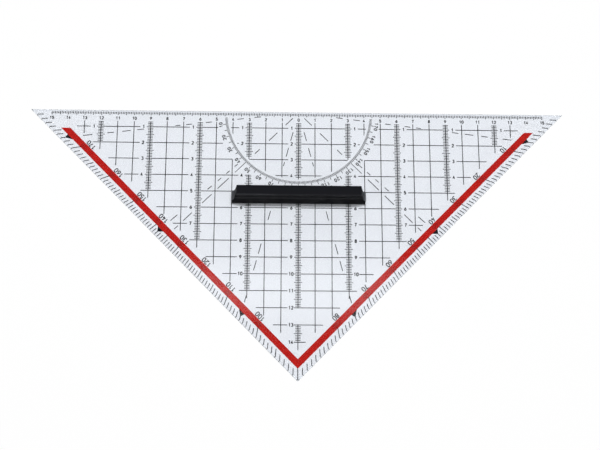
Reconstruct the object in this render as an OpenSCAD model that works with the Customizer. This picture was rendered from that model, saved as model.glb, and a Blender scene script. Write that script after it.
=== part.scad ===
// Drafting triangle: a clear 45 degree set square with a centimetre grid, a protractor and degree
// scales printed on its underside, and a black grip that plugs into two holes and lifts off.
// The zero mark is at the origin, in the middle of the long edge, with +Y out across that edge,
// +X along it and +Z up. The underside lies on z = 0.

/* [Plate] */
// Length of the long ruling edge
hypotenuse = 325; // [310:1:360]
// Thickness of the clear sheet
plate_t = 2.5; // [1.8:0.1:4]
// Bevel along the three upper edges
edge_bevel = 0.5; // [0.2:0.1:1]
// Width of the plain rim around the shallow recess that keeps the print off the paper
rim_w = 0.4; // [0.2:0.1:0.8]
// Air between the lowest print and the paper
paper_gap = 0.02; // [0.02:0.01:0.1]

/* [Grip] */
// Distance from the long edge to the grip's centre line
grip_setback = 54.3; // [40:0.1:70]
// Length of the grip's foot
foot_l = 79.8; // [70:0.1:110]
// Width of the grip's foot
foot_w = 7.2; // [6.6:0.1:12]
// Thickness of the foot at its ends
foot_t = 5; // [3:0.1:6]
// Thickness of the foot at its sides, below the slope
toe_t = 0.6; // [0.4:0.1:1.5]
// Radius of the foot's four corners
foot_corner_r = 0.6; // [0.3:0.1:2]
// Height of the grip above the plate
grip_h = 18.5; // [15:0.1:25]
// Width of the grip at the lower lip of its finger grooves
lip_w = 4.8; // [4.4:0.1:6]
// Height of that lip above the plate
lip_h = 8.8; // [7:0.1:10]
// Depth of the finger grooves
groove_d = 0.55; // [0.2:0.05:0.7]
// Width of the grip's top
top_w = 5.8; // [4.6:0.1:6.6]
// Rounding of the upper edges
top_round = 0.6; // [0.2:0.1:1]
// Ledge of the foot beyond each end of the grip's body
end_ledge = 1.7; // [1:0.1:4]
// Height of the hollow flare between an end and the foot
end_flare = 2.5; // [1:0.1:10]
// How far each end leans in between the flare and the top
end_inset = 1.9; // [0.5:0.1:4]
// Air between the grip's foot and the plate
seat_gap = 0.02; // [0.01:0.01:0.1]

/* [Studs] */
// Diameter of the two split studs
stud_d = 3; // [2.4:0.1:3.6]
// Distance between the studs
stud_spacing = 50; // [30:1:60]
// Length of stud held inside the grip
stud_hold = 5; // [3:0.1:6]
// Width of the slit that lets a stud spring
stud_slit = 0.8; // [0.4:0.1:1.2]
// Lead-in bevel on both ends of a stud
stud_bevel = 0.4; // [0.2:0.1:0.6]
// Radial clearance of a stud in the plate
hole_clearance = 0.05; // [0.02:0.01:0.1]
// Radial clearance of a stud in the grip
socket_clearance = 0.02; // [0.01:0.01:0.05]
// Air between a stud's lower end and the print below it
stud_tip_gap = 0.1; // [0.05:0.05:0.3]

/* [Print] */
// Thickness of one printed film
film_t = 0.04; // [0.02:0.01:0.08]
// Air between a film and what lies above it
film_gap = 0.01; // [0.01:0.005:0.02]
// Width of a grid line
line_w = 0.44; // [0.15:0.01:0.5]
// Width of a scale mark on the plate's edges
mark_w = 0.43; // [0.15:0.01:0.5]
// Width of the red band
band_w = 3.9; // [2:0.1:4.4]
// Distance from the leg's edge to the red band
band_inset = 5.2; // [4.5:0.1:7]
// Distance from the long edge to the red band's cut ends
band_top = 11.2; // [8:0.1:20]
// Length of a pointer's base on the red band
pointer_base = 4.5; // [3:0.1:6]
// Height of a pointer
pointer_h = 2.5; // [1.5:0.1:3]

/* [Scales] */
// Distance between neighbouring scale marks
mark_pitch = 1; // [1:0.05:1.2]
// Scale marks from one grid line to the next
grid_marks = 10; // [8:2:12]
// Grid cells between neighbouring upright rules
rule_cells = 3; // [2:1:4]
// Distance from the rim to the scale marks along it
mark_inset = 0.3; // [0.2:0.1:0.8]
// Length of a millimetre mark on the long edge
mm_mark = 1.4; // [1:0.1:2]
// Length of a half centimetre mark on the long edge
half_mark = 2; // [1.5:0.1:3]
// Plain stretch between the long edge's scale and each corner
corner_plain = 12; // [10:1:20]
// Length of a degree mark on the legs
degree_mark = 2.8; // [2:0.1:3.2]
// Length of a five degree mark on the legs
five_mark = 3.6; // [2.5:0.1:4]
// Length of a ten degree mark on the legs
ten_mark = 4.8; // [3:0.1:5]
// Width of an upright rule's scale mark
rule_mark_w = 0.36; // [0.15:0.01:0.5]
// Reach of a millimetre mark each side of an upright rule
rule_reach = 1.6; // [1:0.1:2]
// Reach of a half centimetre mark each side of an upright rule
rule_half_reach = 2.4; // [1.5:0.1:3]
// Distance from an upright rule to the clear space for a number beside it
number_from = 2.3; // [2:0.1:4]
// Width of that clear space
number_w = 3.9; // [2:0.1:6]
// Height of that clear space
number_h = 2.4; // [1.5:0.1:4]
// Distance from the long edge to the top of the uprights
grid_top = 6.5; // [5:0.1:8]
// Plain margin between the red band and the grid
grid_margin = 3.6; // [2:0.1:8]
// Grid rows from the centre rule's lower end up to its plain row
blank_up = 2; // [2:1:4]

/* [Protractor] */
// Inner radius of the half circle
arc_r = 43.6; // [40:0.1:45]
// Radial depth of the half circle's degree ring
arc_depth = 1.5; // [1.2:0.1:2]
// Width of the ring's degree marks
ring_mark_w = 0.34; // [0.15:0.01:0.45]
// Reach of the five degree marks beyond the ring
arc_mark = 1.6; // [0.8:0.1:2]
// Reach of the 45 degree marks beyond the ring
arc_long_mark = 9.1; // [5:0.1:12]
// Clear zone that the grid leaves inside the ring
arc_clear_in = 1.3; // [0.5:0.1:2]
// Clear zone that the grid leaves outside the ring, for the numbers
arc_clear_out = 4.9; // [4:0.1:6]
// Angle below the long edge at which the half circle begins
arc_start = 5; // [3:1:8]
// Angle below the long edge of the first mark that reaches beyond the ring
arc_first = 10; // [10:5:20]

/* [Hidden] */
$fn = 64;

// How far an outline reaches past what it cuts
over = 1;
// Distance from the long edge to the right-angled corner
plate_h = hypotenuse / 2;
// A line parallel to a leg, d in from its edge, meets |x| - y at this sum
function leg_sum(d) = plate_h - d * sqrt(2);
band_out = leg_sum(band_inset);
band_in = leg_sum(band_inset + band_w);
// The grid ends on lines parallel to the legs
grid_sum = leg_sum(band_inset + band_w + grid_margin);
// Print lies on two levels: 0 is the first black film, 1 the second film below it
print_levels = 2;
relief_depth = print_levels * (film_gap + film_t) + paper_gap;
function film_z(level) = relief_depth - (level + 1) * (film_gap + film_t);

stud_r = stud_d / 2;
foot_z = plate_t + seat_gap;
stud_low = relief_depth + stud_tip_gap;
stud_high = foot_z + stud_hold;

round_steps = 5;
groove_steps = 12;
// An end's flare takes at most this share of its ledge and of its wall
flare_share = 0.9;
// Height of an end's wall between the foot and the upper rounding
wall_h = grip_h - top_round - foot_t;

mark_start = rim_w + mark_inset;
grid_pitch = mark_pitch * grid_marks;
rule_pitch = grid_pitch * rule_cells;
// Marks of the long edge's scale on each side of the zero
edge_marks = floor((plate_h - corner_plain) / grid_pitch) * grid_marks;
rule_count = floor((grid_sum - 2 * grid_pitch) / rule_pitch);
// First scale mark below the top of the uprights
first_mark = ceil((grid_top + rule_mark_w) / mark_pitch);
ring_out = arc_r + arc_depth;
clear_in = arc_r - arc_clear_in;
clear_out = ring_out + arc_clear_out;
// Share of a scale mark's pitch within which a depth counts as a whole mark
mark_slack = 0.001;

// Dashes of the angle rays in grid cells: start and length, across for flat rays and down for steep ones
ray_7_cells = [
    [2.3, 0.4], [3.35, 0.4], [5.3, 0.35], [6.5, 0.35], [7.2, 0.3],
    [9.4, 0.4], [10.2, 0.5], [11.2, 0.4], [12.5, 0.55]
];
ray_42_cells = [
    [3.67, 0.18], [4.15, 0.2], [4.65, 0.2], [5.2, 0.25], [7.2, 0.4]
];
ray_45_cells = [
    [0.35, 0.45], [1.3, 0.5], [2.35, 0.3], [4.2, 0.65],
    [5.2, 0.55], [6.35, 0.5], [7.15, 0.2]
];
ray_75_cells = [
    [1.25, 0.55], [2.25, 0.55], [3.15, 0.25], [6.2, 0.55],
    [8.2, 0.6], [9.2, 0.6], [11.3, 0.4]
];

module film(level) {
    translate([0, 0, film_z(level)])
        linear_extrude(film_t)
            children();
}

module both_sides() {
    children();
    mirror([1, 0])
        children();
}

// Triangle whose three edges lie d inside the plate's
module plate_outline(d) {
    tip = leg_sum(d);
    polygon([[d - tip, -d], [tip - d, -d], [0, -tip]]);
}

// Wedge that takes the upper edge off one side, with the side along X at y = 0
module edge_cutter(length) {
    rotate([90, 0, 90])
        translate([0, 0, -length / 2])
            linear_extrude(length)
                polygon([
                    [-edge_bevel, plate_t], [over, plate_t - edge_bevel - over],
                    [over, plate_t + over], [-edge_bevel, plate_t + over]
                ]);
}

module stud_places() {
    for (side = [-1, 1])
        translate([side * stud_spacing / 2, -grip_setback, 0])
            children();
}

module triangle_plate() {
    color([0.87, 0.91, 0.95, 0.5])
        difference() {
            linear_extrude(plate_t)
                plate_outline(0);
            translate([0, 0, -over])
                linear_extrude(relief_depth + over)
                    plate_outline(rim_w);
            edge_cutter(hypotenuse + 2 * over);
            for (side = [-1, 1])
                translate([side * plate_h / 2, -plate_h / 2, 0])
                    rotate([0, 0, -side * 135])
                        edge_cutter(hypotenuse);
            stud_places()
                translate([0, 0, -over])
                    cylinder(r = stud_r + hole_clearance, h = plate_t + 2 * over);
        }
}

// Halves of the grip's two profiles, from the foot up: the sides slope in to the lip of the finger
// groove, the ends flare
function groove_points(low, high) = [
    for (i = [0 : groove_steps - 1])
        let (a = 180 * i / groove_steps)
        low + (1 - cos(a)) / 2 * (high - low) - [groove_d * sin(a), 0]
];
function flare_points(base, out, up) = [
    for (i = [0 : round_steps])
        let (a = -90 - 90 * i / round_steps)
        [base + out + out * cos(a), foot_t + up + up * sin(a)]
];
function crown_points(top) = [
    for (i = [0 : round_steps])
        let (a = 90 * i / round_steps)
        [top - top_round + top_round * cos(a), grip_h - top_round + top_round * sin(a)]
];
function side_half() = concat(
    [[foot_w / 2, 0], [foot_w / 2, toe_t]],
    groove_points([lip_w / 2, lip_h], [top_w / 2, grip_h - top_round]),
    crown_points(top_w / 2)
);
function end_half() =
    let (base = foot_l / 2 - end_ledge)
    concat(
        [[foot_l / 2, 0], [foot_l / 2, foot_t]],
        flare_points(base, end_ledge * flare_share, min(end_flare, wall_h * flare_share)),
        crown_points(base - end_inset)
    );
function mirrored(points) = [for (i = [len(points) - 1 : -1 : 0]) [-points[i][0], points[i][1]]];
function full_profile(half) = concat(half, mirrored(half));

module rounded_foot() {
    square([foot_l - 2 * foot_corner_r, foot_w], center = true);
    square([foot_l, foot_w - 2 * foot_corner_r], center = true);
    for (x = [-1, 1], y = [-1, 1])
        translate([x * (foot_l / 2 - foot_corner_r), y * (foot_w / 2 - foot_corner_r)])
            circle(foot_corner_r);
}

module grip_body() {
    intersection() {
        rotate([90, 0, 90])
            linear_extrude(foot_l + 2 * over, center = true)
                polygon(full_profile(side_half()));
        rotate([90, 0, 0])
            linear_extrude(foot_w + 2 * over, center = true)
                polygon(full_profile(end_half()));
        linear_extrude(grip_h)
            rounded_foot();
    }
}

module grip_bar() {
    color([0.1, 0.1, 0.11])
        difference() {
            translate([0, -grip_setback, foot_z])
                grip_body();
            stud_places()
                translate([0, 0, foot_z - over])
                    cylinder(r = stud_r + socket_clearance, h = stud_hold + socket_clearance + over);
        }
}

// Split stud: a round peg, pressed into the grip, whose slit lower end springs in the plate's hole
module split_stud() {
    color([0.14, 0.14, 0.15])
        difference() {
            rotate_extrude()
                polygon([
                    [0, stud_low], [stud_r - stud_bevel, stud_low], [stud_r, stud_low + stud_bevel],
                    [stud_r, stud_high - stud_bevel], [stud_r - stud_bevel, stud_high], [0, stud_high]
                ]);
            translate([-stud_slit / 2, -stud_d, stud_low - over])
                cube([stud_slit, 2 * stud_d, plate_t - stud_low + over]);
        }
}

module left_stud() {
    translate([-stud_spacing / 2, -grip_setback, 0])
        split_stud();
}

module right_stud() {
    translate([stud_spacing / 2, -grip_setback, 0])
        split_stud();
}

module red_band() {
    color([0.78, 0.1, 0.08])
        film(1)
            polygon([
                [band_top - band_out, -band_top], [band_top - band_in, -band_top], [0, -band_in],
                [band_in - band_top, -band_top], [band_out - band_top, -band_top], [0, -band_out]
            ]);
}

// Distance from the zero mark to a line parallel to a leg, along a ray at an angle below the edge
function ray_to(sum, angle) = sum / (cos(angle) + sin(angle));

module ink() {
    color([0.08, 0.08, 0.09])
        children();
}

module pointer(angle) {
    foot = ray_to(band_out + film_gap * sqrt(2), angle);
    half = pointer_base / 2 / sqrt(2);
    tip = ray_to(band_out + pointer_h * sqrt(2), angle);
    polygon([
        [foot * cos(angle) + half, -foot * sin(angle) + half],
        [foot * cos(angle) - half, -foot * sin(angle) - half],
        [tip * cos(angle), -tip * sin(angle)]
    ]);
}

module pointer_pair(angle) {
    ink()
        film(1)
            both_sides()
                pointer(angle);
}

module pointers_7_deg() {
    pointer_pair(7);
}

module pointers_42_deg() {
    pointer_pair(42);
}

module pointers_75_deg() {
    pointer_pair(75);
}

module edge_rule() {
    ink()
        film(0)
            for (i = [-edge_marks : edge_marks])
                let (length = i % (grid_marks / 2) == 0 ? half_mark : mm_mark)
                translate([i * mark_pitch - mark_w / 2, -mark_start - length])
                    square([mark_w, length]);
}

// Degree mark on a leg, along its own ray from the zero mark
module leg_mark(angle) {
    length = angle % 10 == 0 || angle == 45 ? ten_mark : angle % 5 == 0 ? five_mark : degree_mark;
    outer = ray_to(leg_sum(mark_start), angle);
    inner = ray_to(leg_sum(mark_start + length), angle);
    rotate(-angle)
        translate([inner, -mark_w / 2])
            square([outer - inner, mark_w]);
}

module left_leg_degrees() {
    ink()
        film(0)
            mirror([1, 0])
                for (angle = [1 : 89])
                    leg_mark(angle);
}

module right_leg_degrees() {
    ink()
        film(0)
            for (angle = [1 : 90])
                leg_mark(angle);
}

// Depth below the long edge at which a circle about the zero mark crosses an upright at x
function circle_depth(r, x) = r > x ? sqrt(r * r - x * x) : 0;
// Depths at which an upright breaks off before the protractor's ring and goes on after its clear zone
function ring_stop(x) = circle_depth(clear_in, x);
function ring_resume(x) = circle_depth(clear_out, x);
// Scale mark of an upright rule that is the last one inside the ring, and the first one outside it
function last_inside(x) =
    floor((min(ring_stop(x), circle_depth(arc_r, x + rule_half_reach)) - rule_mark_w) / mark_pitch);
function first_outside(x) = max(first_mark, ceil(ring_resume(x) / mark_pitch - mark_slack));
// Grid rows that cross an upright at x
function rows_at(x) = floor((grid_sum - x - line_w) / grid_pitch);

// Right side of an upright rule, downwards: the line's edge with a mark out at every millimetre
function rule_side(first, last, bottom) = concat(
    [[line_w / 2, rule_mark_w - first * mark_pitch]],
    [
        for (i = [first : 1 : last])
            let (reach = i % grid_marks == grid_marks / 2 ? rule_half_reach : rule_reach)
            let (y = -i * mark_pitch)
            each [
                [line_w / 2, y + rule_mark_w / 2], [reach, y + rule_mark_w / 2],
                [reach, y - rule_mark_w / 2], [line_w / 2, y - rule_mark_w / 2]
            ]
    ],
    [[line_w / 2, -bottom]]
);

module rule_piece(x, first, last, bottom) {
    translate([x, 0])
        polygon(full_profile(rule_side(first, last, bottom)));
}

module rule_inside_ring(x) {
    if (last_inside(x) > first_mark)
        rule_piece(x, first_mark, last_inside(x), ring_stop(x));
}

module upright_rule(x) {
    rule_inside_ring(x);
    rule_piece(x, first_outside(x), rows_at(x) * grid_marks, grid_sum - x);
}

module centre_rule() {
    blank_row = rows_at(0) - blank_up;
    ink()
        film(0) {
            rule_inside_ring(0);
            rule_piece(0, first_outside(0), blank_row * grid_marks, blank_row * grid_pitch + rule_mark_w);
            rule_piece(0, (blank_row + 1) * grid_marks, rows_at(0) * grid_marks, grid_sum);
        }
}

module inner_rules() {
    ink()
        film(0)
            both_sides()
                upright_rule(rule_pitch);
}

module outer_rules() {
    ink()
        film(0)
            both_sides()
                for (k = [2 : rule_count])
                    upright_rule(k * rule_pitch);
}

// Half disc ring about the zero mark that the grid leaves free
module ring_clearance() {
    difference() {
        circle(clear_out);
        circle(clear_in);
    }
}

module grid_uprights() {
    ink()
        film(0)
            both_sides()
                difference() {
                    for (k = [1 : floor((grid_sum - grid_top - line_w) / grid_pitch)])
                        if (k % rule_cells != 0)
                            translate([k * grid_pitch - line_w / 2, k * grid_pitch - grid_sum])
                                square([line_w, grid_sum - k * grid_pitch - grid_top]);
                    ring_clearance();
                }
}

// True where a number stands beside the upright rule at x in that row
function has_number(x, row) =
    x == 0
    || row < rows_at(x)
    && (row * grid_pitch < ring_stop(x) || row * grid_marks >= first_outside(x));

module number_gap(x, side, depth) {
    near = side * (x + number_from);
    far = side * (x + number_from + number_w);
    translate([min(near, far), -depth - number_h / 2])
        square([number_w, number_h]);
}

module grid_crosslines() {
    rows = rows_at(0);
    ink()
        film(1)
            difference() {
                for (row = [1 : rows])
                    let (depth = row * grid_pitch)
                    translate([depth - grid_sum, -depth - line_w / 2])
                        square([2 * (grid_sum - depth), line_w]);
                for (row = [1 : rows], k = [0 : rule_count], side = [-1, 1])
                    if (has_number(k * rule_pitch, row) && (k > 0 || side < 0))
                        number_gap(k * rule_pitch, side, row * grid_pitch);
                ring_clearance();
            }
}

// How far a degree mark of the half circle reaches beyond the ring
function ring_reach(angle) =
    angle % 90 == 45 ? arc_long_mark
    : angle % 5 == 0 && abs(angle - 90) <= 90 - arc_first ? arc_mark
    : 0;

module protractor_arc() {
    ink()
        film(0)
            for (angle = [arc_start : 180 - arc_start])
                rotate(-angle)
                    translate([arc_r, -ring_mark_w / 2])
                        square([arc_depth + ring_reach(angle), ring_mark_w]);
}

// Dashes of one ray on both sides, as far as the red band; the scale turns grid cells into distance
module dashed_rays(angle, cells, scale) {
    ink()
        film(1)
            both_sides()
                for (dash = cells * grid_pitch / scale)
                    if (dash[0] + dash[1] < ray_to(band_in, angle))
                        rotate(-angle)
                            translate([dash[0], -line_w / 2])
                                square([dash[1], line_w]);
}

module rays_7_deg() {
    dashed_rays(7, ray_7_cells, cos(7));
}

module rays_42_deg() {
    dashed_rays(42, ray_42_cells, cos(42));
}

module rays_45_deg() {
    dashed_rays(45, ray_45_cells, cos(45));
}

module rays_75_deg() {
    dashed_rays(75, ray_75_cells, sin(75));
}

triangle_plate();
grip_bar();
left_stud();
right_stud();
red_band();
pointers_7_deg();
pointers_42_deg();
pointers_75_deg();
edge_rule();
left_leg_degrees();
right_leg_degrees();
centre_rule();
inner_rules();
outer_rules();
grid_uprights();
grid_crosslines();
protractor_arc();
rays_7_deg();
rays_42_deg();
rays_45_deg();
rays_75_deg();
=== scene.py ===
from math import cos, hypot, pi, radians, sin

import bmesh
import bpy
from mathutils import Euler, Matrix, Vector


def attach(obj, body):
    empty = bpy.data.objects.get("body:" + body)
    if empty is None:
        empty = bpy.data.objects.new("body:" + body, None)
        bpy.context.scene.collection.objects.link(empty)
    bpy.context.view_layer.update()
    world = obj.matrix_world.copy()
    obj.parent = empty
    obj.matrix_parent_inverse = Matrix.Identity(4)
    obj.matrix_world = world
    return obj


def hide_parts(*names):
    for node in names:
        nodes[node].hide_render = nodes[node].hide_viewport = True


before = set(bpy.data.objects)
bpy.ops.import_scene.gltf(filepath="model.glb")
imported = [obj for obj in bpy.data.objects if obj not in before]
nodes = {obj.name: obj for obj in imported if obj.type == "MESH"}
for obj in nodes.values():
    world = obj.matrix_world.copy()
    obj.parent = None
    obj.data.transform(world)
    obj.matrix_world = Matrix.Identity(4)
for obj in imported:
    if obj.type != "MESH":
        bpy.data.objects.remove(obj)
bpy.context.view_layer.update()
mm = 0.001
print("frame loaded:", len(nodes), "nodes")


# small helpers for node trees

def emptyMaterial(name):
    material = bpy.data.materials.new(name)
    material.use_nodes = True
    material.node_tree.nodes.clear()
    return material


def addNode(tree, kind, values=None, **settings):
    node = tree.nodes.new(kind)
    for key, value in settings.items():
        setattr(node, key, value)
    for key, value in (values or {}).items():
        node.inputs[key].default_value = value
    return node


def grainOf(tree, coordinates, size, detail, stretch=(1, 1, 1)):
    # noise whose lumps are about size metres across
    mapping = addNode(tree, "ShaderNodeMapping", {"Scale": stretch})
    noise = addNode(tree, "ShaderNodeTexNoise", {"Scale": 1 / size, "Detail": detail, "Roughness": 0.6})
    tree.links.new(coordinates.outputs["Object"], mapping.inputs["Vector"])
    tree.links.new(mapping.outputs["Vector"], noise.inputs["Vector"])
    return noise


def rampOf(tree, source, stops):
    ramp = addNode(tree, "ShaderNodeValToRGB")
    while len(ramp.color_ramp.elements) < len(stops):
        ramp.color_ramp.elements.new(0.5)
    for element, (position, colour) in zip(ramp.color_ramp.elements, stops):
        element.position = position
        element.color = (*colour, 1)
    tree.links.new(source, ramp.inputs["Fac"])
    return ramp


def betweenOf(tree, start, end, low=0.0, high=1.0):
    # low before start, high after end, and a straight run between them
    return addNode(tree, "ShaderNodeMapRange", {
        "From Min": start, "From Max": end, "To Min": low, "To Max": high,
    })


def spreadOf(tree, source, low, high):
    # most of a noise lies between these two levels
    spread = betweenOf(tree, 0.3, 0.7, low, high)
    tree.links.new(source, spread.inputs["Value"])
    return spread


def bumpOf(tree, source, strength, height, below=None):
    bump = addNode(tree, "ShaderNodeBump", {"Strength": strength, "Distance": height})
    tree.links.new(source, bump.inputs["Height"])
    if below:
        tree.links.new(below.outputs["Normal"], bump.inputs["Normal"])
    return bump


def paint(names, material):
    for name in names:
        nodes[name].material_slots[0].material = material


clearSheet = {
    "tint": (0.862, 0.872, 0.9, 1),
    "shadowTint": (0.955, 0.97, 0.985, 1),
    "polish": 0.1,
    "index": 1.49,
    "wave": {"size": 0.03, "detail": 1, "strength": 0.1, "height": 0.0002},
    "scratch": {"size": 0.0006, "detail": 3, "stretch": (1, 0.03, 1), "strength": 0.05, "height": 0.00001},
    # the sawn sides; upright is the height of the facing direction where the haze starts and is full
    "cut": {"haze": (0.64, 0.67, 0.71, 1), "upright": (0.88, 0.4), "share": 0.75},
}


def clearSheetMaterial(style):
    material = emptyMaterial("clearSheet")
    tree = material.node_tree
    coordinates = addNode(tree, "ShaderNodeTexCoord")
    wave, scratch = style["wave"], style["scratch"]
    waves = grainOf(tree, coordinates, wave["size"], wave["detail"])
    scratches = grainOf(tree, coordinates, scratch["size"], scratch["detail"], scratch["stretch"])
    low = bumpOf(tree, waves.outputs["Fac"], wave["strength"], wave["height"])
    fine = bumpOf(tree, scratches.outputs["Fac"], scratch["strength"], scratch["height"], low)
    sheet = addNode(tree, "ShaderNodeBsdfPrincipled", {
        "Base Color": style["tint"], "Roughness": style["polish"],
        "IOR": style["index"], "Transmission Weight": 1.0,
    })
    tree.links.new(fine.outputs["Normal"], sheet.inputs["Normal"])
    # the sawn sides are hazy
    cut = style["cut"]
    shapeOf = addNode(tree, "ShaderNodeNewGeometry")
    slope = addNode(tree, "ShaderNodeSeparateXYZ")
    lean = addNode(tree, "ShaderNodeMath", operation="ABSOLUTE")
    sawn = betweenOf(tree, *cut["upright"], 0.0, cut["share"])
    haze = addNode(tree, "ShaderNodeBsdfDiffuse", {"Color": cut["haze"]})
    whole = addNode(tree, "ShaderNodeMixShader")
    tree.links.new(shapeOf.outputs["True Normal"], slope.inputs[0])
    tree.links.new(slope.outputs["Z"], lean.inputs[0])
    tree.links.new(lean.outputs[0], sawn.inputs["Value"])
    tree.links.new(sawn.outputs["Result"], whole.inputs["Fac"])
    tree.links.new(sheet.outputs["BSDF"], whole.inputs[1])
    tree.links.new(haze.outputs["BSDF"], whole.inputs[2])
    # lamps shine through the sheet
    letThrough = addNode(tree, "ShaderNodeBsdfTransparent", {"Color": style["shadowTint"]})
    rays = addNode(tree, "ShaderNodeLightPath")
    choose = addNode(tree, "ShaderNodeMixShader")
    out = addNode(tree, "ShaderNodeOutputMaterial")
    tree.links.new(rays.outputs["Is Shadow Ray"], choose.inputs["Fac"])
    tree.links.new(whole.outputs["Shader"], choose.inputs[1])
    tree.links.new(letThrough.outputs["BSDF"], choose.inputs[2])
    tree.links.new(choose.outputs["Shader"], out.inputs["Surface"])
    return material


paint(["triangle_plate"], clearSheetMaterial(clearSheet))
print("clear sheet done")


blackFilm = {
    "name": "blackFilm", "thin": (0.014, 0.014, 0.016), "thick": (0.005, 0.005, 0.006),
    "mottle": 0.0012, "roughness": (0.42, 0.6),
}
redFilm = {
    "name": "redFilm", "thin": (0.58, 0.013, 0.007), "thick": (0.48, 0.007, 0.004),
    "mottle": 0.004, "roughness": (0.3, 0.48),
}
darkRedFilm = {
    "name": "darkRedFilm", "thin": (0.32, 0.014, 0.010), "thick": (0.20, 0.008, 0.007),
    "mottle": 0.0012, "roughness": (0.4, 0.55),
}
filmFinish = {
    "ramp": (0.32, 0.68),  # levels of the mottle where the ink is thickest and thinnest
    "screen": {"size": 0.0001, "strength": 0.3, "height": 0.000004},  # tooth of the printing screen
    "index": 1.45, "gloss": 0.05,
}


def filmMaterial(style, finish):
    material = emptyMaterial(style["name"])
    tree = material.node_tree
    coordinates = addNode(tree, "ShaderNodeTexCoord")
    mottle = grainOf(tree, coordinates, style["mottle"], 4)
    screen = grainOf(tree, coordinates, finish["screen"]["size"], 2)
    thickest, thinnest = finish["ramp"]
    colour = rampOf(tree, mottle.outputs["Fac"], [(thickest, style["thick"]), (thinnest, style["thin"])])
    dull = spreadOf(tree, mottle.outputs["Fac"], *style["roughness"])
    tooth = bumpOf(tree, screen.outputs["Fac"], finish["screen"]["strength"], finish["screen"]["height"])
    film = addNode(tree, "ShaderNodeBsdfPrincipled", {
        "IOR": finish["index"], "Specular IOR Level": finish["gloss"],
    })
    out = addNode(tree, "ShaderNodeOutputMaterial")
    tree.links.new(colour.outputs["Color"], film.inputs["Base Color"])
    tree.links.new(dull.outputs["Result"], film.inputs["Roughness"])
    tree.links.new(tooth.outputs["Normal"], film.inputs["Normal"])
    tree.links.new(film.outputs["BSDF"], out.inputs["Surface"])
    return material


blackFilmMaterial = filmMaterial(blackFilm, filmFinish)
redFilmMaterial = filmMaterial(redFilm, filmFinish)
darkRedFilmMaterial = filmMaterial(darkRedFilm, filmFinish)
gripNodes = ["grip_bar", "left_stud", "right_stud"]
paint([n for n in nodes if n not in gripNodes + ["triangle_plate", "red_band"]], blackFilmMaterial)
paint(["red_band"], redFilmMaterial)
print("printed films done")


numberFilm = (0.07, 0.11)  # mm above the paper, just over the red band


def bow(x, y, rx, ry, start, end, steps=12):
    turn = [radians(start + (end - start) * i / steps) for i in range(steps + 1)]
    return [(x + rx * cos(t), y + ry * sin(t)) for t in turn]


# each digit as strokes in a box one unit high, with whether the stroke closes
digitWidth = 0.56
digitStrokes = {
    "0": [(bow(0.28, 0.72, 0.28, 0.28, 0, 180) + bow(0.28, 0.28, 0.28, 0.28, 180, 360), True)],
    "1": [([(0.1, 0.74), (0.36, 1.0), (0.36, 0.0)], False)],
    "2": [(bow(0.28, 0.72, 0.27, 0.28, 165, -38) + [(0.02, 0.0), (0.56, 0.0)], False)],
    "3": [
        (bow(0.27, 0.76, 0.24, 0.24, 150, -90), False),
        (bow(0.27, 0.26, 0.29, 0.26, 90, -150), False),
    ],
    "4": [([(0.36, 1.0), (0.02, 0.26), (0.56, 0.26)], False), ([(0.43, 0.5), (0.43, 0.0)], False)],
    "5": [([(0.5, 1.0), (0.1, 1.0), (0.06, 0.54)] + bow(0.26, 0.31, 0.3, 0.31, 112, -145), False)],
    "6": [([(0.42, 1.0), (0.1, 0.5)], False), (bow(0.28, 0.29, 0.28, 0.29, 130, -230, 20), True)],
    "7": [([(0.0, 1.0), (0.55, 1.0), (0.2, 0.0)], False)],
    "8": [
        (bow(0.28, 0.77, 0.23, 0.23, -90, 270, 18), True),
        (bow(0.28, 0.27, 0.28, 0.27, 90, 450, 20), True),
    ],
    "9": [([(0.14, 0.0), (0.46, 0.5)], False), (bow(0.28, 0.71, 0.28, 0.29, -50, 310, 20), True)],
}


def ribbon(shape, points, width, closed):
    # flat stroke with mitred bends and real thickness
    if closed and hypot(points[0][0] - points[-1][0], points[0][1] - points[-1][1]) < 1e-4:
        points = points[:-1]
    count = len(points)
    rows = []
    for i, (x, y) in enumerate(points):
        before = points[i - 1] if closed or i else None
        after = points[(i + 1) % count] if closed or i < count - 1 else None
        arms = []
        for a, b in ((before, (x, y)), ((x, y), after)):
            if a and b:
                length = hypot(b[0] - a[0], b[1] - a[1]) or 1
                arms.append(Vector(((a[1] - b[1]) / length, (b[0] - a[0]) / length)))
        side = sum(arms, Vector((0, 0)))
        side = side.normalized() if side.length > 1e-6 else arms[0]
        reach = width / 2 / max(side.dot(arms[0]), 0.5)
        corners = []
        for sign in (1, -1):
            edge = Vector((x, y)) + sign * reach * side
            corners += [shape.verts.new((edge.x * mm, edge.y * mm, z * mm)) for z in reversed(numberFilm)]
        rows.append(corners)
    for i in range(count if closed else count - 1):
        a, b = rows[i], rows[(i + 1) % count]
        shape.faces.new((a[0], a[2], b[2], b[0]))
        shape.faces.new((a[1], b[1], b[3], a[3]))
        shape.faces.new((a[0], b[0], b[1], a[1]))
        shape.faces.new((a[2], a[3], b[3], b[2]))
    if not closed:
        shape.faces.new((rows[0][0], rows[0][1], rows[0][3], rows[0][2]))
        shape.faces.new((rows[-1][0], rows[-1][2], rows[-1][3], rows[-1][1]))


def writeNumber(shape, style, number, x, y, turn=0):
    # centred on x, y in mm; turn is the reading direction in degrees
    height, step = style["height"], style["step"]
    digits = str(number)
    left = -((len(digits) - 1) * step + digitWidth * height) / 2
    c, s = cos(radians(turn)), sin(radians(turn))
    for i, digit in enumerate(digits):
        for stroke, closed in digitStrokes[digit]:
            local = [(px * height + left + i * step, (py - 0.5) * height) for px, py in stroke]
            placed = [(x + px * c - py * s, y + px * s + py * c) for px, py in local]
            ribbon(shape, placed, style["stroke"], closed)


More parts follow.
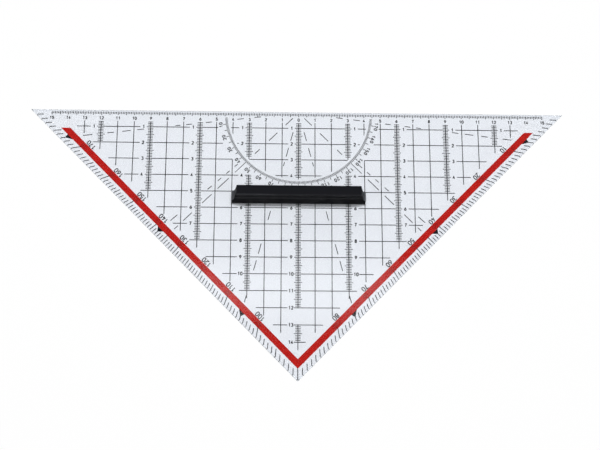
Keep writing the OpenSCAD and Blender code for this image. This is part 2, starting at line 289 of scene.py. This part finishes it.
def numberPiece(name, style, numbers, material):
    shape = bmesh.new()
    for entry in numbers:
        writeNumber(shape, style, *entry)
    mesh = bpy.data.meshes.new(name)
    bmesh.ops.recalc_face_normals(shape, faces=shape.faces)
    shape.to_mesh(mesh)
    shape.free()
    mesh.materials.append(material)
    piece = bpy.data.objects.new(name, mesh)
    bpy.context.scene.collection.objects.link(piece)
    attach(piece, "plate")
    print(name, len(numbers), "numbers")


edgeNumbers = {"height": 1.65, "step": 1.5, "stroke": 0.45, "depth": 4.7, "pitch": 10, "reach": 15}
numberPiece("edge_numbers", edgeNumbers, [
    (abs(k), k * edgeNumbers["pitch"], -edgeNumbers["depth"])
    for k in range(-edgeNumbers["reach"], edgeNumbers["reach"] + 1)
], blackFilmMaterial)

# rows that carry a number beside each upright rule, by its distance from the middle in cm
ruleNumbers = {
    "height": 1.75, "step": 1.6, "stroke": 0.5, "beside": 4.2,
    "rows": {0: range(1, 15), 3: [1, 2, *range(4, 11)], 6: range(1, 8), 9: range(1, 5), 12: [1]},
}


def ruleNumberList(style):
    numbers = []
    for distance, rows in style["rows"].items():
        for side in (-1, 1) if distance else (-1,):
            for row in rows:
                numbers.append((row, side * (distance * 10 + style["beside"]), -row * 10))
    return numbers


numberPiece("rule_numbers", ruleNumbers, ruleNumberList(ruleNumbers), blackFilmMaterial)

# tops towards the zero mark
protractorNumbers = {
    "height": 1.8, "step": 1.85, "stroke": 0.45, "radius": 48.1,
    "angles": [*range(10, 80, 10), *range(110, 180, 10)],
}


def protractorNumberList(style):
    r = style["radius"]
    return [(a, -r * cos(radians(a)), -r * sin(radians(a)), a + 90) for a in style["angles"]]


ringNumbers = protractorNumberList(protractorNumbers)
numberPiece("protractor_numbers", protractorNumbers, ringNumbers, blackFilmMaterial)

# the sum is x - y along the row of numbers
legNumbers = {"height": 2.55, "step": 2.15, "stroke": 0.5, "sum": 147.3}
bandNumbers = {"height": 2.2, "step": 1.9, "stroke": 0.35, "sum": 152.4}


def legNumberList(style, side, other):
    # on the ten degree rays, with their tops towards the leg's edge
    numbers = []
    for a in range(10, 90, 10):
        reach = style["sum"] / (cos(radians(a)) + sin(radians(a)))
        number = a if (side > 0) != other else 180 - a
        turn = 225 if side > 0 else 135
        numbers.append((number, side * reach * cos(radians(a)), -reach * sin(radians(a)), turn))
    return numbers


for side, word in ((-1, "left"), (1, "right")):
    outerRow = legNumberList(bandNumbers, side, True)
    innerRow = legNumberList(legNumbers, side, False)
    numberPiece(word + "_leg_numbers", legNumbers, innerRow, blackFilmMaterial)
    numberPiece(word + "_band_numbers", bandNumbers, outerRow, darkRedFilmMaterial)


# in mm, with heights from the foot's underside
grip = {
    "middle": (0, -54.3, 2.52),  # place of the foot's underside
    "foot": (39.9, 3.6, 5.0, 0.6),  # half length, half width, height at the ends and at the sides
    "heel": 0.12,  # chamfer under the foot
    # points that soften an edge, each as steps up and out from it
    "footEndEdge": ((-0.2, 0), (-0.05, -0.08)),
    "footSideEdge": ((-0.15, 0), (0.15, -0.05)),
    "lipEdge": ((-0.3, 0.06), (-0.1, 0.01)),
    "flare": (38.2, 1.53, 2.5),  # at the ends: half length above it, reach out and up
    "groove": (2.4, 8.8, 0.55),  # at the sides: half width and height of its lip, depth
    "top": (36.3, 2.9, 18.5),  # half length, half width, height
    "topRound": 0.6,
    "footCorner": 0.6,
    "bodyCorner": 0.35,
    "leastCorner": 0.15,
    "socket": (25, 1.52, 5.02),  # place either side, radius, depth
    "socketOver": 2,  # how far the socket's cutter starts below the foot
    "steps": {"flare": 8, "groove": 16, "crown": 6, "corner": 8, "socket": 48},
    "crease": 32,  # degrees; sharper edges stay sharp in shading
}


def endRun(style):
    # half length of the grip from the foot up, as heights and halves
    foot, height, heel = style["foot"][0], style["foot"][2], style["heel"]
    base, out, up = style["flare"]
    steps = style["steps"]["flare"]
    run = [(0, foot - heel), (heel, foot)]
    run += [(height + dz, foot + d) for dz, d in style["footEndEdge"]]
    for i in range(steps + 1):
        a = radians(90 * i / steps)
        run.append((height + up - up * cos(a), base + out - out * sin(a)))
    return run + [(style["top"][2] - style["topRound"], style["top"][0])]


def sideRun(style):
    # the same for its half width: a slope up to the lip, then the hollow of the finger groove
    foot, height, heel = style["foot"][1], style["foot"][3], style["heel"]
    lip, lipLevel, depth = style["groove"]
    top, topLevel = style["top"][1], style["top"][2] - style["topRound"]
    steps = style["steps"]["groove"]
    run = [(0, foot - heel), (heel, foot)]
    run += [(height + dz, foot + d) for dz, d in style["footSideEdge"]]
    run += [(lipLevel + dz, lip + d) for dz, d in style["lipEdge"]]
    for i in range(steps + 1):
        t = (1 - cos(pi * i / steps)) / 2
        z = lipLevel + (topLevel - lipLevel) * t
        run.append((z, lip + (top - lip) * t - depth * sin(pi * i / steps)))
    return run


def halfAt(run, z):
    for (low, a), (high, b) in zip(run, run[1:]):
        if z <= high:
            return a + (b - a) * (z - low) / (high - low)
    return run[-1][1]


def gripLevels(style):
    # rings from the foot up: half length, half width, corner, height
    ends, sides = endRun(style), sideRun(style)
    heights = sorted({round(z, 3) for z, half in ends + sides})
    levels = []
    for z in heights:
        share = min(max((z - style["foot"][2]) / style["flare"][2], 0), 1)
        corner = style["footCorner"] + (style["bodyCorner"] - style["footCorner"]) * share
        levels.append((halfAt(ends, z), halfAt(sides, z), corner, z))
    crown, steps = style["topRound"], style["steps"]["crown"]
    for i in range(1, steps + 1):
        a = radians(90 * i / steps)
        cut = crown * (1 - cos(a))
        levels.append((
            style["top"][0] - cut, style["top"][1] - cut,
            max(style["bodyCorner"] - cut, style["leastCorner"]), style["top"][2] - crown + crown * sin(a),
        ))
    return levels


def gripRing(shape, style, level):
    a, b, r, z = level
    middle, steps = style["middle"], style["steps"]["corner"]
    ring = []
    for i, (sx, sy) in enumerate(((1, 1), (-1, 1), (-1, -1), (1, -1))):
        for k in range(steps + 1):
            t = radians(90 * i + 90 * k / steps)
            ring.append(shape.verts.new((
                (middle[0] + sx * (a - r) + r * cos(t)) * mm,
                (middle[1] + sy * (b - r) + r * sin(t)) * mm,
                (middle[2] + z) * mm,
            )))
    return ring


def gripBody(style):
    shape = bmesh.new()
    rings = [gripRing(shape, style, level) for level in gripLevels(style)]
    for low, high in zip(rings, rings[1:]):
        for i in range(len(low)):
            j = (i + 1) % len(low)
            shape.faces.new((low[i], low[j], high[j], high[i]))
    shape.faces.new(list(reversed(rings[0])))
    shape.faces.new(rings[-1])
    mesh = bpy.data.meshes.new("grip_body")
    shape.to_mesh(mesh)
    shape.free()
    body = bpy.data.objects.new("grip_body", mesh)
    bpy.context.scene.collection.objects.link(body)
    return body


def boreSockets(body, style):
    # the two sockets that hold the studs
    place, radius, depth = style["socket"]
    over = style["socketOver"]
    x, y, z = style["middle"]
    cutters = []
    for side in (-1, 1):
        bpy.ops.mesh.primitive_cylinder_add(
            vertices=style["steps"]["socket"], radius=radius * mm, depth=(depth + over) * mm,
            location=((x + side * place) * mm, y * mm, (z + (depth - over) / 2) * mm))
        cutter = bpy.context.object
        bore = body.modifiers.new("bore", "BOOLEAN")
        bore.operation = "DIFFERENCE"
        bore.solver = "EXACT"
        bore.object = cutter
        cutters.append(cutter)
    bpy.context.view_layer.update()
    bored = bpy.data.meshes.new_from_object(body.evaluated_get(bpy.context.evaluated_depsgraph_get()))
    body.modifiers.clear()
    body.data = bored
    for cutter in cutters:
        bpy.data.objects.remove(cutter)


blackMoulding = {
    "name": "blackMoulding", "worn": (0.03, 0.03, 0.033), "deep": (0.0068, 0.0072, 0.0092),
    "grain": 0.00025, "sheen": (0.6, 0.7), "peel": 0.004,
    # painted highlight at the ends: it fades in between these distances from the middle and with these
    # heights of the facing direction, and fades out where that points sideways
    "endHighlight": {
        "pale": (0.074, 0.078, 0.086, 1), "beyond": (0.0364, 0.0374),
        "up": (0.05, 0.2), "sideways": (0.75, 0.35),
    },
    # painted highlight on edges within this share of the facing direction; it falls to the least between
    # the two places along x that follow, left to right
    "edgeHighlight": {
        "pale": (0.046, 0.047, 0.053, 1), "facing": (0, -0.707, 0.707), "share": (0.83, 0.93),
        "highlightFade": (-0.018, -0.012), "least": 0.25,
    },
    # painted highlight along the groove's lip, pale as far as the first distance from it and gone at the
    # second
    "lip": {
        "pale": (0.044, 0.044, 0.048, 1), "height": (grip["middle"][2] + grip["groove"][1]) * mm,
        "half": (0.0004, 0.0011),
    },
}
studMoulding = {
    "name": "studMoulding", "worn": (0.04, 0.04, 0.043), "deep": (0.016, 0.016, 0.018),
    "grain": 0.0004, "sheen": (0.4, 0.55), "peel": 0.002,
}
mouldingFinish = {
    "edge": (0.5, 0.58),  # pointiness of flat faces and of worn edges
    "haze": {"levels": (0.3, 0.75), "paler": 1.5},
    "peel": {"strength": 0.08, "height": 0.0001},
    "grain": {"strength": 0.35, "height": 0.00002},
    "index": 1.5, "gloss": 0.05,
}


def scuffEnds(tree, coordinates, shapeOf, colour, endHighlight):
    # painted highlight, pale on what faces up and out at the ends
    place = addNode(tree, "ShaderNodeSeparateXYZ")
    slope = addNode(tree, "ShaderNodeSeparateXYZ")
    side = addNode(tree, "ShaderNodeMath", operation="ABSOLUTE")
    beyond = betweenOf(tree, *endHighlight["beyond"])
    facing = betweenOf(tree, *endHighlight["up"])
    sideways = addNode(tree, "ShaderNodeMath", operation="ABSOLUTE")
    outward = betweenOf(tree, *endHighlight["sideways"])
    turned = addNode(tree, "ShaderNodeMath", operation="MULTIPLY")
    share = addNode(tree, "ShaderNodeMath", operation="MULTIPLY")
    withEndHighlight = addNode(tree, "ShaderNodeMix", data_type="RGBA")
    withEndHighlight.inputs["B"].default_value = endHighlight["pale"]
    tree.links.new(coordinates.outputs["Object"], place.inputs[0])
    tree.links.new(place.outputs["X"], side.inputs[0])
    tree.links.new(side.outputs[0], beyond.inputs["Value"])
    tree.links.new(shapeOf.outputs["Normal"], slope.inputs[0])
    tree.links.new(slope.outputs["Z"], facing.inputs["Value"])
    tree.links.new(slope.outputs["Y"], sideways.inputs[0])
    tree.links.new(sideways.outputs[0], outward.inputs["Value"])
    tree.links.new(facing.outputs["Result"], turned.inputs[0])
    tree.links.new(outward.outputs["Result"], turned.inputs[1])
    tree.links.new(beyond.outputs["Result"], share.inputs[0])
    tree.links.new(turned.outputs[0], share.inputs[1])
    tree.links.new(share.outputs[0], withEndHighlight.inputs["Factor"])
    tree.links.new(colour.outputs["Result"], withEndHighlight.inputs["A"])
    return withEndHighlight


def rubEdges(tree, coordinates, shapeOf, colour, edgeHighlight):
    # painted highlight, pale along the edges that face up towards the user
    facing = addNode(tree, "ShaderNodeVectorMath", operation="DOT_PRODUCT")
    facing.inputs[1].default_value = edgeHighlight["facing"]
    edge = betweenOf(tree, *edgeHighlight["share"])
    place = addNode(tree, "ShaderNodeSeparateXYZ")
    along = betweenOf(tree, *edgeHighlight["highlightFade"], 1.0, edgeHighlight["least"])
    share = addNode(tree, "ShaderNodeMath", operation="MULTIPLY")
    withEdgeHighlight = addNode(tree, "ShaderNodeMix", data_type="RGBA")
    withEdgeHighlight.inputs["B"].default_value = edgeHighlight["pale"]
    tree.links.new(shapeOf.outputs["Normal"], facing.inputs[0])
    tree.links.new(facing.outputs["Value"], edge.inputs["Value"])
    tree.links.new(coordinates.outputs["Object"], place.inputs[0])
    tree.links.new(place.outputs["X"], along.inputs["Value"])
    tree.links.new(edge.outputs["Result"], share.inputs[0])
    tree.links.new(along.outputs["Result"], share.inputs[1])
    tree.links.new(share.outputs[0], withEdgeHighlight.inputs["Factor"])
    tree.links.new(colour.outputs["Result"], withEdgeHighlight.inputs["A"])
    return withEdgeHighlight


def rubLip(tree, coordinates, colour, lip):
    # painted highlight, pale along the lip of the finger groove
    place = addNode(tree, "ShaderNodeSeparateXYZ")
    above = addNode(tree, "ShaderNodeMath", {1: lip["height"]}, operation="SUBTRACT")
    away = addNode(tree, "ShaderNodeMath", operation="ABSOLUTE")
    full, gone = lip["half"]
    share = betweenOf(tree, gone, full)
    withLipHighlight = addNode(tree, "ShaderNodeMix", data_type="RGBA", blend_type="LIGHTEN")
    withLipHighlight.inputs["B"].default_value = lip["pale"]
    tree.links.new(coordinates.outputs["Object"], place.inputs[0])
    tree.links.new(place.outputs["Z"], above.inputs[0])
    tree.links.new(above.outputs[0], away.inputs[0])
    tree.links.new(away.outputs[0], share.inputs["Value"])
    tree.links.new(share.outputs["Result"], withLipHighlight.inputs["Factor"])
    tree.links.new(colour.outputs["Result"], withLipHighlight.inputs["A"])
    return withLipHighlight


def mouldingMaterial(style, finish):
    material = emptyMaterial(style["name"])
    tree = material.node_tree
    coordinates = addNode(tree, "ShaderNodeTexCoord")
    grain = grainOf(tree, coordinates, style["grain"], 2)
    peel = grainOf(tree, coordinates, style["peel"], 3)
    # handling polishes and pales the outer edges
    shapeOf = addNode(tree, "ShaderNodeNewGeometry")
    flat, sharp = finish["edge"]
    edge = rampOf(tree, shapeOf.outputs["Pointiness"], [(flat, style["deep"]), (sharp, style["worn"])])
    hazed = [finish["haze"]["paler"] * c for c in style["deep"]]
    low, high = finish["haze"]["levels"]
    haze = rampOf(tree, peel.outputs["Fac"], [(low, style["deep"]), (high, hazed)])
    colour = addNode(tree, "ShaderNodeMix", data_type="RGBA", blend_type="LIGHTEN")
    colour.inputs["Factor"].default_value = 1.0
    tree.links.new(haze.outputs["Color"], colour.inputs["A"])
    tree.links.new(edge.outputs["Color"], colour.inputs["B"])
    # painted highlights: on the ends, along the upper front edge and along the groove's lip
    if "endHighlight" in style:
        colour = scuffEnds(tree, coordinates, shapeOf, colour, style["endHighlight"])
        colour = rubEdges(tree, coordinates, shapeOf, colour, style["edgeHighlight"])
        colour = rubLip(tree, coordinates, colour, style["lip"])
    dull = spreadOf(tree, peel.outputs["Fac"], *style["sheen"])
    lumps = bumpOf(tree, peel.outputs["Fac"], finish["peel"]["strength"], finish["peel"]["height"])
    fine = bumpOf(tree, grain.outputs["Fac"], finish["grain"]["strength"], finish["grain"]["height"], lumps)
    plastic = addNode(tree, "ShaderNodeBsdfPrincipled", {
        "IOR": finish["index"], "Specular IOR Level": finish["gloss"],
    })
    out = addNode(tree, "ShaderNodeOutputMaterial")
    tree.links.new(colour.outputs["Result"], plastic.inputs["Base Color"])
    tree.links.new(dull.outputs["Result"], plastic.inputs["Roughness"])
    tree.links.new(fine.outputs["Normal"], plastic.inputs["Normal"])
    tree.links.new(plastic.outputs["BSDF"], out.inputs["Surface"])
    return material


gripBodyPiece = gripBody(grip)
boreSockets(gripBodyPiece, grip)
gripBodyPiece.data.shade_smooth()
gripBodyPiece.data.set_sharp_from_angle(angle=radians(grip["crease"]))
gripBodyPiece.data.materials.clear()
gripBodyPiece.data.materials.append(mouldingMaterial(blackMoulding, mouldingFinish))
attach(gripBodyPiece, "grip")
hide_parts("grip_bar")
paint(["left_stud", "right_stud"], mouldingMaterial(studMoulding, mouldingFinish))
print("grip done:", len(gripBodyPiece.data.polygons), "faces")


stage = {
    "half": 3.0, "drop": 0.00005, "paper": (0.92, 0.92, 0.92, 1),
    "white": 0.9,  # share of plain white that is seen directly and in gloss
    "whiteBelow": 0.06,  # the same through the clear sheet, where the grip's shadow falls
}


def paperFloor(style):
    shape = bmesh.new()
    half, low = style["half"], -style["drop"]
    shape.faces.new([shape.verts.new(c) for c in (
        (-half, -half, low), (half, -half, low), (half, half, low), (-half, half, low))])
    mesh = bpy.data.meshes.new("floor")
    shape.to_mesh(mesh)
    shape.free()
    floor = bpy.data.objects.new("floor", mesh)
    bpy.context.scene.collection.objects.link(floor)
    material = emptyMaterial("paper")
    tree = material.node_tree
    lit = addNode(tree, "ShaderNodeBsdfDiffuse", {"Color": style["paper"]})
    white = addNode(tree, "ShaderNodeEmission", {"Color": (1, 1, 1, 1), "Strength": 1.0})
    rays = addNode(tree, "ShaderNodeLightPath")
    seen = addNode(tree, "ShaderNodeMath", operation="ADD", use_clamp=True)
    direct = addNode(tree, "ShaderNodeMath", {1: style["white"]}, operation="MULTIPLY")
    share = addNode(tree, "ShaderNodeMix", {"B": style["whiteBelow"]})
    mix = addNode(tree, "ShaderNodeMixShader")
    out = addNode(tree, "ShaderNodeOutputMaterial")
    tree.links.new(rays.outputs["Is Camera Ray"], seen.inputs[0])
    tree.links.new(rays.outputs["Is Glossy Ray"], seen.inputs[1])
    tree.links.new(seen.outputs[0], direct.inputs[0])
    tree.links.new(rays.outputs["Is Transmission Ray"], share.inputs["Factor"])
    tree.links.new(direct.outputs[0], share.inputs["A"])
    tree.links.new(share.outputs["Result"], mix.inputs["Fac"])
    tree.links.new(lit.outputs["BSDF"], mix.inputs[1])
    tree.links.new(white.outputs["Emission"], mix.inputs[2])
    tree.links.new(mix.outputs["Shader"], out.inputs["Surface"])
    mesh.materials.append(material)


paperFloor(stage)

room = {
    "glow": (0.1, 0.1015, 0.105, 1),
    # the pale walls fade into the dim ceiling between these, as sines of the height
    "wallTop": (0.35, 0.6),
}


def studioRoom(style):
    world = bpy.data.worlds.new("studio")
    world.use_nodes = True
    tree = world.node_tree
    tree.nodes.clear()
    dim = addNode(tree, "ShaderNodeBackground", {"Color": style["glow"]})
    white = addNode(tree, "ShaderNodeBackground", {"Color": (1, 1, 1, 1)})
    rays = addNode(tree, "ShaderNodeLightPath")
    toward = addNode(tree, "ShaderNodeTexCoord")
    height = addNode(tree, "ShaderNodeSeparateXYZ")
    low, high = style["wallTop"]
    wall = betweenOf(tree, high, low)
    mirrored = addNode(tree, "ShaderNodeMath", operation="ADD", use_clamp=True)
    inGloss = addNode(tree, "ShaderNodeMath", operation="MULTIPLY")
    seen = addNode(tree, "ShaderNodeMath", operation="ADD", use_clamp=True)
    mix = addNode(tree, "ShaderNodeMixShader")
    out = addNode(tree, "ShaderNodeOutputWorld")
    tree.links.new(toward.outputs["Generated"], height.inputs[0])
    tree.links.new(height.outputs["Z"], wall.inputs["Value"])
    tree.links.new(rays.outputs["Is Glossy Ray"], mirrored.inputs[0])
    tree.links.new(rays.outputs["Is Transmission Ray"], mirrored.inputs[1])
    tree.links.new(mirrored.outputs[0], inGloss.inputs[0])
    tree.links.new(wall.outputs["Result"], inGloss.inputs[1])
    tree.links.new(rays.outputs["Is Camera Ray"], seen.inputs[0])
    tree.links.new(inGloss.outputs[0], seen.inputs[1])
    tree.links.new(seen.outputs[0], mix.inputs["Fac"])
    tree.links.new(dim.outputs["Background"], mix.inputs[1])
    tree.links.new(white.outputs["Background"], mix.inputs[2])
    tree.links.new(mix.outputs["Shader"], out.inputs["Surface"])
    bpy.context.scene.world = world


studioRoom(room)

# the key hangs nearly overhead, so that the grip's shadow stays short; the glare lies faintly on the sheet
softboxes = {
    "key": {"at": (0.0, 0.061, 1.2), "size": (0.4, 0.06), "watts": 12, "inGloss": False},
    "back": {"at": (0.0, 0.95, 1.25), "size": (1.2, 0.5), "watts": 2, "inGloss": True},
    "left": {"at": (-1.05, -0.4, 0.95), "size": (0.7, 0.7), "watts": 2, "inGloss": True},
    "right": {"at": (1.05, -0.4, 0.95), "size": (0.7, 0.7), "watts": 2, "inGloss": True},
    "glare": {"at": (0.0, 0.112, 1.5), "size": (0.6, 0.105), "watts": 0.19, "inGloss": True},
}
softboxAim = Vector((0, -0.06, 0))
for name, style in softboxes.items():
    lamp = bpy.data.lights.new(name, "AREA")
    lamp.shape = "RECTANGLE"
    lamp.size, lamp.size_y = style["size"]
    lamp.energy = style["watts"]
    box = bpy.data.objects.new(name, lamp)
    box.location = style["at"]
    box.rotation_euler = (softboxAim - Vector(style["at"])).to_track_quat("-Z", "Y").to_euler()
    box.visible_glossy = box.visible_transmission = style["inGloss"]
    bpy.context.scene.collection.objects.link(box)

view = {
    "at": (-0.01248, -0.18730, 0.51927), "turn": (12.6943, -1.5295, 0.1669),
    "lens": 53.538, "sensor": 36, "nearest": 0.01,
}
lens = bpy.data.cameras.new("camera")
lens.sensor_width = view["sensor"]
lens.sensor_fit = "HORIZONTAL"
lens.lens = view["lens"]
lens.clip_start = view["nearest"]
camera = bpy.data.objects.new("camera", lens)
camera.location = view["at"]
camera.rotation_euler = Euler([radians(a) for a in view["turn"]], "XYZ")
bpy.context.scene.collection.objects.link(camera)
bpy.context.scene.camera = camera
bpy.context.scene.view_settings.view_transform = "Standard"
print("stage done")
